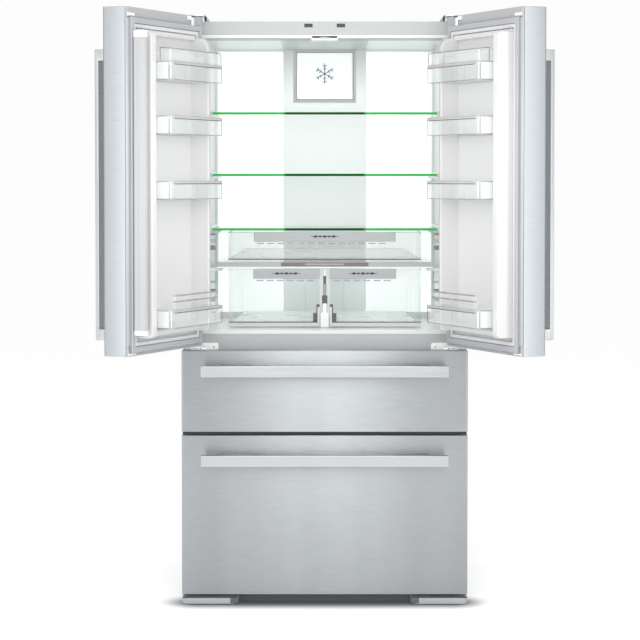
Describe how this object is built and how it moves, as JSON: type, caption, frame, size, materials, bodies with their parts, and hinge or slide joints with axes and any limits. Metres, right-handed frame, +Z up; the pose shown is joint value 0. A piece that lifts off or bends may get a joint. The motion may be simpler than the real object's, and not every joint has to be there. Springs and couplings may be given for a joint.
{
  "type": "french door refrigerator",
  "caption": "Refrigerator with two hinged doors holding clear bins, a lit cavity with glass shelves and crispers, and pull-out freezer drawers with bar handles.",
  "frame": {"origin": "on the floor, under the middle of the whole object as it stands with both doors open", "axes": "+Z up, -Y towards the person in front of it, +X to that person's right"},
  "size_m": [1.3824, 1.1012, 1.8665],
  "materials": {
    "painted_grey": "satin enamel",
    "brushed_steel": "fine horizontal brushing",
    "bright_steel": "fine brushed, bright",
    "zinc": "zinc coated sheet",
    "white_plastic": "smooth white",
    "grey_plastic": "fine grain",
    "dark_plastic": "fine grain",
    "clear_plastic": "clear moulded",
    "glass": "clear, green polished edge",
    "rubber_seal": "soft matte",
    "foam": "rigid foam",
    "black_paint": "black enamel"
  },
  "bodies": {
    "cabinet": {"cabinet_shell": "painted_grey", "insulation_foam": "foam", "fridge_liner": "white_plastic", "freezer_liner": "white_plastic", "back_panel": "zinc", "machine_cover": "dark_plastic", "base_frame": "zinc", "kickplate": "dark_plastic", "foot_cover_left": "grey_plastic", "foot_cover_right": "grey_plastic", "top_hinge_left": "bright_steel", "top_hinge_right": "bright_steel", "mid_hinge_left": "white_plastic", "mid_hinge_right": "white_plastic", "air_duct_panel": "white_plastic", "vent_cover": "grey_plastic", "glass_shelf_1": "glass", "glass_shelf_2": "glass", "glass_shelf_3": "glass", "crisper_cover": "clear_plastic", "crisper_divider": "white_plastic", "compressor": "black_paint", "evaporator": "zinc"},
    "left_door": {"left_door_skin": "brushed_steel", "left_door_frame": "grey_plastic", "left_door_liner": "white_plastic", "left_door_gasket": "rubber_seal", "left_door_handle": "bright_steel", "left_bin_top": "clear_plastic", "left_bin_upper": "clear_plastic", "left_bin_middle": "clear_plastic", "left_bin_bottom": "clear_plastic"},
    "right_door": {"right_door_skin": "brushed_steel", "right_door_frame": "grey_plastic", "right_door_liner": "white_plastic", "right_door_gasket": "rubber_seal", "right_door_handle": "bright_steel", "right_bin_top": "clear_plastic", "right_bin_upper": "clear_plastic", "right_bin_middle": "clear_plastic", "right_bin_bottom": "clear_plastic"},
    "left_lid": {"left_bin_lid": "clear_plastic"},
    "right_lid": {"right_bin_lid": "clear_plastic"},
    "mullion_bar": {"mullion": "grey_plastic"},
    "upper_crisper": {"crisper_upper": "clear_plastic"},
    "left_crisper": {"crisper_lower_left": "clear_plastic"},
    "right_crisper": {"crisper_lower_right": "clear_plastic"},
    "upper_drawer": {"upper_drawer_skin": "brushed_steel", "upper_drawer_panel": "grey_plastic", "upper_drawer_handle": "bright_steel", "upper_drawer_basket": "white_plastic"},
    "lower_drawer": {"lower_drawer_skin": "brushed_steel", "lower_drawer_panel": "grey_plastic", "lower_drawer_handle": "bright_steel", "lower_drawer_basket": "white_plastic"},
    "left_foot": {"levelling_foot_left": "dark_plastic"},
    "right_foot": {"levelling_foot_right": "dark_plastic"},
    "left_roller": {"rear_roller_left": "dark_plastic"},
    "right_roller": {"rear_roller_right": "dark_plastic"},
    "fan": {"evaporator_fan": "dark_plastic"}
  },
  "joints": [
    {"name": "left_door_hinge", "type": "hinge", "parent": "cabinet", "child": "left_door", "pos_m": [-0.4305, -0.13036, 1.34], "axis": [0, 0, -1], "range_deg": [-116, 14]},
    {"name": "left_lid_hinge", "type": "hinge", "parent": "left_door", "child": "left_lid", "pos_m": [-0.37927, -0.15535, 1.733], "axis": [-0.4384, -0.8988, 0], "range_deg": [0, 80]},
    {"name": "right_door_hinge", "type": "hinge", "parent": "cabinet", "child": "right_door", "pos_m": [0.4305, -0.13036, 1.34], "axis": [0, 0, 1], "range_deg": [-116, 14]},
    {"name": "right_lid_hinge", "type": "hinge", "parent": "right_door", "child": "right_lid", "pos_m": [0.37927, -0.15535, 1.733], "axis": [-0.4384, 0.8988, 0], "range_deg": [0, 80]},
    {"name": "mullion_hinge", "type": "hinge", "parent": "left_door", "child": "mullion_bar", "pos_m": [-0.55851, -0.52854, 1.337], "axis": [0, 0, 1], "range_deg": [-90, 0]},
    {"name": "upper_crisper_slide", "type": "slide", "parent": "cabinet", "child": "upper_crisper", "axis": [0, -1, 0], "range_m": [0, 0.3]},
    {"name": "left_crisper_slide", "type": "slide", "parent": "cabinet", "child": "left_crisper", "axis": [0, -1, 0], "range_m": [0, 0.3]},
    {"name": "right_crisper_slide", "type": "slide", "parent": "cabinet", "child": "right_crisper", "axis": [0, -1, 0], "range_m": [0, 0.3]},
    {"name": "upper_drawer_slide", "type": "slide", "parent": "cabinet", "child": "upper_drawer", "axis": [0, -1, 0], "range_m": [0, 0.42]},
    {"name": "lower_drawer_slide", "type": "slide", "parent": "cabinet", "child": "lower_drawer", "axis": [0, -1, 0], "range_m": [0, 0.37]},
    {"name": "left_foot_screw", "type": "hinge", "parent": "cabinet", "child": "left_foot", "pos_m": [-0.365, -0.10936, 0.012], "axis": [0, 0, 1], "continuous": true},
    {"name": "left_roller_spin", "type": "hinge", "parent": "cabinet", "child": "left_roller", "pos_m": [-0.401, 0.49064, 0.02], "axis": [1, 0, 0], "continuous": true},
    {"name": "right_foot_screw", "type": "hinge", "parent": "cabinet", "child": "right_foot", "pos_m": [0.365, -0.10936, 0.012], "axis": [0, 0, 1], "continuous": true},
    {"name": "right_roller_spin", "type": "hinge", "parent": "cabinet", "child": "right_roller", "pos_m": [0.401, 0.49064, 0.02], "axis": [1, 0, 0], "continuous": true},
    {"name": "fan_spin", "type": "hinge", "parent": "cabinet", "child": "fan", "pos_m": [0, 0.45264, 0.72], "axis": [0, 1, 0], "continuous": true}
  ]
}
